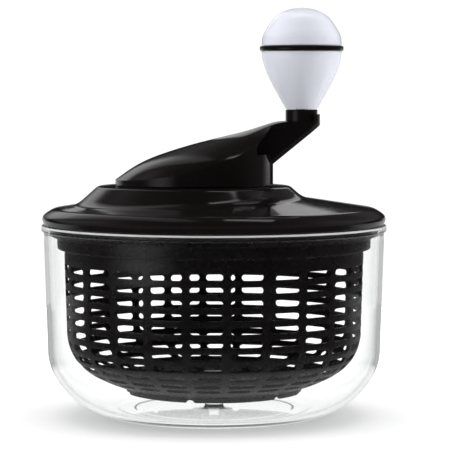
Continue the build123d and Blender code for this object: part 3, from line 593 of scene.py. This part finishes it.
def remap(nodes, links, value, start, end, low, high, soft=False):
    """Turns value from start to end into low to high, and stays there beyond them."""
    ramp = nodes.new("ShaderNodeMapRange")
    if soft:
        ramp.interpolation_type = "SMOOTHSTEP"
    ramp.inputs["From Min"].default_value = start
    ramp.inputs["From Max"].default_value = end
    ramp.inputs["To Min"].default_value = low
    ramp.inputs["To Max"].default_value = high
    links.new(value, ramp.inputs["Value"])
    return ramp.outputs["Result"]


def ranged(nodes, links, value, low, high, into):
    """Feeds a socket with noise spread from low to high."""
    links.new(remap(nodes, links, value, NOISE_LOW, NOISE_HIGH, low, high), into)


def tinted(nodes, links, value, dark, light, into):
    """Feeds a socket with noise spread from a dark colour to a light one."""
    ramp = nodes.new("ShaderNodeValToRGB")
    ramp.color_ramp.elements[0].position = NOISE_LOW
    ramp.color_ramp.elements[0].color = (*dark, 1)
    ramp.color_ramp.elements[1].position = NOISE_HIGH
    ramp.color_ramp.elements[1].color = (*light, 1)
    links.new(value, ramp.inputs["Fac"])
    links.new(ramp.outputs["Color"], into)


def bumped(nodes, links, value, distance, strength, into):
    """Feeds a normal socket with noise of a height in metres."""
    bump = nodes.new("ShaderNodeBump")
    bump.inputs["Distance"].default_value = distance
    bump.inputs["Strength"].default_value = strength
    links.new(value, bump.inputs["Height"])
    links.new(bump.outputs["Normal"], into)


def joined(nodes, links, operation, first, second):
    """A maths node on two sockets or plain numbers."""
    node = nodes.new("ShaderNodeMath")
    node.operation = operation
    for value, socket in ((first, node.inputs[0]), (second, node.inputs[1])):
        if isinstance(value, float):
            socket.default_value = value
        else:
            links.new(value, socket)
    return node.outputs["Value"]


def mixed_shaders(nodes, links, factor, first, second):
    """One shader where the factor is 0 and another where it is 1."""
    mix = nodes.new("ShaderNodeMixShader")
    links.new(factor, mix.inputs["Fac"])
    links.new(first, mix.inputs[1])
    links.new(second, mix.inputs[2])
    return mix.outputs["Shader"]


def moulded(name, dark, light, rough, bump, grain=900.0, stretch=None, **inputs):
    """Moulded plastic, rubber or metal: cloudy colour, uneven roughness and a fine skin."""
    mat, nodes, links = material(name)
    shader = nodes["Principled BSDF"]
    tinted(nodes, links, noise(nodes, links, 35.0), dark, light, shader.inputs["Base Color"])
    ranged(nodes, links, noise(nodes, links, 120.0, 4.0), rough[0], rough[1], shader.inputs["Roughness"])
    bumped(nodes, links, noise(nodes, links, grain, 2.0, stretch), bump, 1.0, shader.inputs["Normal"])
    for socket, value in inputs.items():
        shader.inputs[socket.replace("_", " ")].default_value = value
    return mat


def clear_plastic():
    """Clear moulded plastic that lets lamp light through to what stands inside it."""
    mat, nodes, links = material("clear_bowl")
    shader = nodes["Principled BSDF"]
    shader.inputs["Base Color"].default_value = (0.985, 0.99, 0.99, 1)
    shader.inputs["IOR"].default_value = BOWL_IOR
    ranged(nodes, links, noise(nodes, links, 60.0), 0.0, 0.012, shader.inputs["Roughness"])
    bumped(nodes, links, noise(nodes, links, 14.0, 1.0), 0.00004, 1.0, shader.inputs["Normal"])
    # Painted highlight: the rim's top edge is made less clear and shows milky white, standing in for the
    # light that runs up inside the wall
    place = nodes.new("ShaderNodeTexCoord")
    axes = nodes.new("ShaderNodeSeparateXYZ")
    links.new(place.outputs["Object"], axes.inputs["Vector"])
    start, end = ((BOWL_HEIGHT - below) * MM for below in RIM_HIGHLIGHT_SPAN)
    clear = remap(nodes, links, axes.outputs["Z"], start, end, 1.0, RIM_HIGHLIGHT_CLEAR)
    links.new(clear, shader.inputs["Transmission Weight"])
    rays = nodes.new("ShaderNodeLightPath")
    through_light = nodes.new("ShaderNodeBsdfTransparent")
    through_light.inputs["Color"].default_value = (0.93, 0.94, 0.94, 1)
    surface = mixed_shaders(nodes, links, rays.outputs["Is Shadow Ray"], shader.outputs["BSDF"],
                            through_light.outputs["BSDF"])
    links.new(surface, nodes["Material Output"].inputs["Surface"])
    return mat


MATERIALS = {
    "clear_plastic": clear_plastic(),
    "lid_black": moulded("gloss_black", (0.0032, 0.0024, 0.0024), (0.0046, 0.0034, 0.0034),
                         (0.07, 0.13), 0.000004),
    "cover_black": moulded("satin_black", (0.012, 0.0105, 0.011), (0.017, 0.0155, 0.016),
                           (0.24, 0.34), 0.00001),
    "basket_black": moulded("basket_plastic", (0.0045, 0.0034, 0.0034), (0.0065, 0.005, 0.005),
                            (0.22, 0.32), 0.000008, Specular_IOR_Level=0.3),
    "knob_white": moulded("white_gloss", (0.755, 0.77, 0.855), (0.785, 0.80, 0.875),
                          (0.05, 0.09), 0.000003, Coat_Weight=0.5),
    "bearing_white": moulded("acetal_bearing", (0.72, 0.72, 0.68), (0.80, 0.80, 0.77), (0.38, 0.5), 0.00002),
    "gear_white": moulded("acetal_gear", (0.70, 0.70, 0.66), (0.78, 0.78, 0.75), (0.38, 0.5), 0.00002),
    "seal_rubber": moulded("black_silicone", (0.010, 0.010, 0.011), (0.018, 0.018, 0.019), (0.42, 0.55),
                           0.00003),
    "shaft_steel": moulded("turned_steel", (0.50, 0.50, 0.52), (0.62, 0.62, 0.64), (0.22, 0.34), 0.00002,
                           1200.0, (0.2, 0.2, 6.0), Metallic=1.0),
    "screw_steel": moulded("plated_steel", (0.46, 0.46, 0.48), (0.58, 0.58, 0.61), (0.25, 0.38), 0.00001,
                           Metallic=1.0),
}
SLOT_OF = {row["node"]: row["material_slot"] for row in frame["record"]["subparts"]}

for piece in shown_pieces():
    slot_name = SLOT_OF.get(piece.name) or piece.get("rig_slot")
    piece.data.materials.clear()
    piece.data.materials.append(MATERIALS[slot_name])

# ---------------------------------------------------------------- floor, light and camera
low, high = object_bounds()
MIDDLE = (low + high) / 2

WORLD_SEEN = 1.05          # the backdrop as the camera meets it
WORLD_THROUGH = 1.3        # the backdrop through the bowl, bright enough to burn out to white
WORLD_FILL = 0.34          # what it adds to the light on every surface
FLOOR_REACH = 0.8
FLOOR_GLOW = (0.3, 1.0)    # under the object and far from it
FLOOR_NEAR = (0.19, 0.3)   # distances over which its mirrored brightness falls off
FLOOR_NEAR_MIRRORED = 0.95     # and that brightness close to the object
FLOOR_MIRRORED = (0.04, 0.5)   # further out, in front of the object and behind it
FLOOR_BEHIND = (-0.05, 0.2)    # where front turns into behind
FLOOR_INSIDE = 0.3         # how much of that is mirrored by what stands inside the bowl
FLOOR_WHITE = 1.25         # plain white that it mixes in when seen through the bowl
FLOOR_SEEN_THROUGH = 0.8   # and how much of it
LOW_WINDOW = (0.06, -0.03)     # upward part of a direction, over which the low surroundings set in
# What glossy plastic mirrors, in degrees and brightness. Overhead: 0 is the horizon behind, 90 straight up
# and 180 the horizon in front. Around the back: 0 is behind, -90 left. Around low: 0 is in front, -90 left.
OVERHEAD = [
    (-180, 0.012), (2, 0.02), (9, 0.25), (18, 0.72), (28, 0.80), (36, 0.46), (47, 0.29), (66, 0.23),
    (74, 0.012), (180, 0.012),
]
AROUND_BACK = [
    (-180, 0.02), (-36, 0.05), (-25, 1.0), (-14, 1.0), (-9, 0.10), (-3, 0.06), (20, 0.10), (60, 0.05),
    (180, 0.02),
]
AROUND_LOW = [
    (-180, 0.7), (-142, 0.58), (-122, 0.06), (-80, 0.04), (-50, 0.60), (-20, 0.03), (60, 0.01), (118, 0.06),
    (142, 0.55), (180, 0.65),
]
# A dim band all round at middle height, by its height over the horizon and around from the front
BAND_HEIGHT = [(-180, 0.0), (5, 0.0), (14, 1.0), (42, 0.8), (62, 0.15), (90, 0.0), (180, 0.0)]
BAND_AROUND = [
    (-180, 0.0), (-158, 0.01), (-115, 0.26), (-60, 0.13), (0, 0.10), (60, 0.13), (115, 0.26), (158, 0.01),
    (180, 0.0),
]
# The same for what is reflected inside the bowl
AROUND_INSIDE = [
    (-180, 1.0), (-167, 0.9), (-160, 0.06), (-90, 0.09), (-52, 0.95), (-22, 0.03), (90, 0.02), (160, 0.06),
    (167, 0.9), (180, 1.0),
]


def flat_stage(name, corners, mat):
    """One flat face that belongs to the stage, not to the object."""
    mesh = bpy.data.meshes.new(name)
    mesh.from_pydata(corners, [], [tuple(range(len(corners)))])
    mesh.materials.append(mat)
    panel = bpy.data.objects.new(name, mesh)
    bpy.context.scene.collection.objects.link(panel)
    return panel


def behind_bowl(nodes, links, rays, outside, inside):
    """One value for light that met at most the bowl's wall, another for light from within the bowl."""
    return remap(nodes, links, rays.outputs["Transmission Depth"], 2.0, 4.0, outside, inside)


def floor():
    """A round white floor whose far part glows a little, so that it runs into the backdrop."""
    mat, nodes, links = material("pale_floor")
    shader = nodes["Principled BSDF"]
    shader.inputs["Base Color"].default_value = (0.9, 0.9, 0.9, 1)
    shader.inputs["Specular IOR Level"].default_value = 0.2
    shader.inputs["Emission Color"].default_value = (1, 1, 1, 1)
    ranged(nodes, links, noise(nodes, links, 40.0), 0.75, 0.85, shader.inputs["Roughness"])
    place = nodes.new("ShaderNodeTexCoord")
    reach = nodes.new("ShaderNodeVectorMath")
    reach.operation = "LENGTH"
    links.new(place.outputs["Object"], reach.inputs[0])
    distance = reach.outputs["Value"]
    glow = remap(nodes, links, distance, 0.22, FLOOR_REACH, *FLOOR_GLOW, soft=True)
    links.new(glow, shader.inputs["Emission Strength"])
    # Glossy plastic mirrors a table that is bright close by and dim further out
    rays = nodes.new("ShaderNodeLightPath")
    axes = nodes.new("ShaderNodeSeparateXYZ")
    links.new(place.outputs["Object"], axes.inputs["Vector"])
    behind = remap(nodes, links, axes.outputs["Y"], *FLOOR_BEHIND, *FLOOR_MIRRORED, soft=True)
    near = remap(nodes, links, distance, *FLOOR_NEAR, FLOOR_NEAR_MIRRORED, 0.0, soft=True)
    within = behind_bowl(nodes, links, rays, 1.0, FLOOR_INSIDE)
    mirrored = nodes.new("ShaderNodeEmission")
    brighter = joined(nodes, links, "MAXIMUM", behind, near)
    links.new(joined(nodes, links, "MULTIPLY", brighter, within), mirrored.inputs["Strength"])
    # Through the bowl it is nearly plain white
    white = nodes.new("ShaderNodeEmission")
    white.inputs["Strength"].default_value = FLOOR_WHITE
    through = joined(nodes, links, "MINIMUM", rays.outputs["Transmission Depth"], 1.0)
    share = joined(nodes, links, "MULTIPLY", through, FLOOR_SEEN_THROUGH)
    seen = mixed_shaders(nodes, links, share, shader.outputs["BSDF"], white.outputs["Emission"])
    surface = mixed_shaders(nodes, links, rays.outputs["Glossy Depth"], seen, mirrored.outputs["Emission"])
    links.new(surface, nodes["Material Output"].inputs["Surface"])
    rim = [(FLOOR_REACH * cos(t), FLOOR_REACH * sin(t), 0.0) for t in angles(128)]
    flat_stage("floor", rim, mat).location.z = low.z - 0.0002


def glowing(name, strength):
    """A material that only gives light."""
    mat, nodes, links = material(name)
    nodes.remove(nodes["Principled BSDF"])
    glow = nodes.new("ShaderNodeEmission")
    glow.inputs["Strength"].default_value = strength
    links.new(glow.outputs["Emission"], nodes["Material Output"].inputs["Surface"])
    return mat


def reflected_panel(name, corners, strength):
    """A white panel that only glossy surfaces see."""
    panel = flat_stage(name, corners, glowing(name, strength))
    panel.visible_camera = False
    panel.visible_diffuse = False
    panel.visible_transmission = False
    panel.visible_shadow = False


def upright(left, right, bottom, top, back):
    """Corners of a panel that stands behind the object."""
    return [(left, back, bottom), (right, back, bottom), (right, back, top), (left, back, top)]


def lying(left, right, front, back, height):
    """Corners of a panel that lies over the object."""
    return [(left, front, height), (right, front, height), (right, back, height), (left, back, height)]


def softbox(name, place, width, height, power):
    """An area lamp aimed at the object that only matt surfaces show."""
    lamp = bpy.data.lights.new(name, "AREA")
    lamp.shape = "RECTANGLE"
    lamp.size = width
    lamp.size_y = height
    lamp.energy = power
    box = bpy.data.objects.new(name, lamp)
    box.location = place
    aim = Vector((0.0, 0.0, MIDDLE.z)) - Vector(place)
    box.rotation_euler = aim.to_track_quat("-Z", "Y").to_euler()
    box.visible_camera = False
    box.visible_glossy = False
    box.visible_transmission = False
    bpy.context.scene.collection.objects.link(box)


def studio_world():
    """White to look at, soft fill for matt surfaces, and for glossy ones a softbox over the back."""
    world = bpy.data.worlds.new("studio")
    bpy.context.scene.world = world
    world.use_nodes = True
    nodes = world.node_tree.nodes
    links = world.node_tree.links
    rays = nodes.new("ShaderNodeLightPath")
    place = nodes.new("ShaderNodeTexCoord")
    axes = nodes.new("ShaderNodeSeparateXYZ")
    links.new(place.outputs["Generated"], axes.inputs["Vector"])

    def maths(operation, first, second):
        return joined(nodes, links, operation, first, second)

    def brightness(first, second, stops):
        """Brightness by the angle of the view direction in one plane."""
        angle = maths("ARCTAN2", first, second)
        box = nodes.new("ShaderNodeValToRGB")
        ramp = box.color_ramp
        ramp.interpolation = "EASE"
        while len(ramp.elements) < len(stops):
            ramp.elements.new(0.5)
        for element, (degree, level) in zip(ramp.elements, stops):
            element.position = (degree + 180) / 360
            element.color = (level, level, level, 1)
        links.new(remap(nodes, links, angle, -pi, pi, 0.0, 1.0), box.inputs["Fac"])
        return box.outputs["Color"]

    overhead = brightness(axes.outputs["Z"], axes.outputs["Y"], OVERHEAD)
    front = maths("MULTIPLY", axes.outputs["Y"], -1.0)
    around = brightness(axes.outputs["X"], front, AROUND_LOW)
    around_inside = brightness(axes.outputs["X"], front, AROUND_INSIDE)
    window = remap(nodes, links, axes.outputs["Z"], *LOW_WINDOW, 0.0, 1.0, soft=True)
    around_back = brightness(axes.outputs["X"], axes.outputs["Y"], AROUND_BACK)
    upward = axes.outputs["Z"]
    level = maths("SQRT", maths("SUBTRACT", 1.0, maths("MULTIPLY", upward, upward)), 0.0)
    band = maths("MULTIPLY", brightness(axes.outputs["Z"], level, BAND_HEIGHT),
                 brightness(axes.outputs["X"], front, BAND_AROUND))
    outside = maths("ADD", maths("MULTIPLY", overhead, around_back), maths("MULTIPLY", around, window))
    outside = maths("ADD", outside, band)

    def mixed(factor, plain, other):
        mix = nodes.new("ShaderNodeMix")
        mix.data_type = "FLOAT"
        mix.clamp_factor = True
        links.new(factor, mix.inputs["Factor"])
        for value, socket in ((plain, mix.inputs["A"]), (other, mix.inputs["B"])):
            if isinstance(value, float):
                socket.default_value = value
            else:
                links.new(value, socket)
        return mix.outputs["Result"]

    mirrored = mixed(behind_bowl(nodes, links, rays, 0.0, 1.0), outside, around_inside)
    seen = mixed(rays.outputs["Transmission Depth"], WORLD_SEEN, WORLD_THROUGH)
    looked_at = mixed(rays.outputs["Diffuse Depth"], seen, WORLD_FILL)
    strength = mixed(rays.outputs["Glossy Depth"], looked_at, mirrored)
    links.new(strength, nodes["Background"].inputs["Strength"])
    nodes["Background"].inputs["Color"].default_value = (1, 1, 1, 1)


floor()
studio_world()
softbox("over", (0.0, 0.1, 1.4), 1.6, 1.4, 17.0)
softbox("left", (-1.3, -0.1, 0.4), 0.6, 1.0, 9.0)
softbox("right", (1.3, 0.1, 0.4), 0.6, 1.0, 9.0)
reflected_panel("left_back", upright(-0.15, -0.13, 0.203, 0.232, 0.36), 0.6)
knob_x = KNOB_X * MM
reflected_panel("behind_knob", upright(knob_x - 0.08, knob_x + 0.09, 0.243, 0.4, 0.3), 0.75)
reflected_panel("above_knob", lying(knob_x - 0.045, knob_x + 0.04, -0.018, 0.018, 0.39), 1.4)

camera = bpy.data.cameras.new("camera")
camera.sensor_width = 36.0
camera.lens = 2207 * 36 / 450
viewer = bpy.data.objects.new("camera", camera)
viewer.location = (0.008, -1.6, 0.2397)
viewer.rotation_euler = (radians(90 - 3.63), 0, 0)
bpy.context.scene.collection.objects.link(viewer)
bpy.context.scene.camera = viewer
bpy.context.scene.view_settings.view_transform = "Standard"
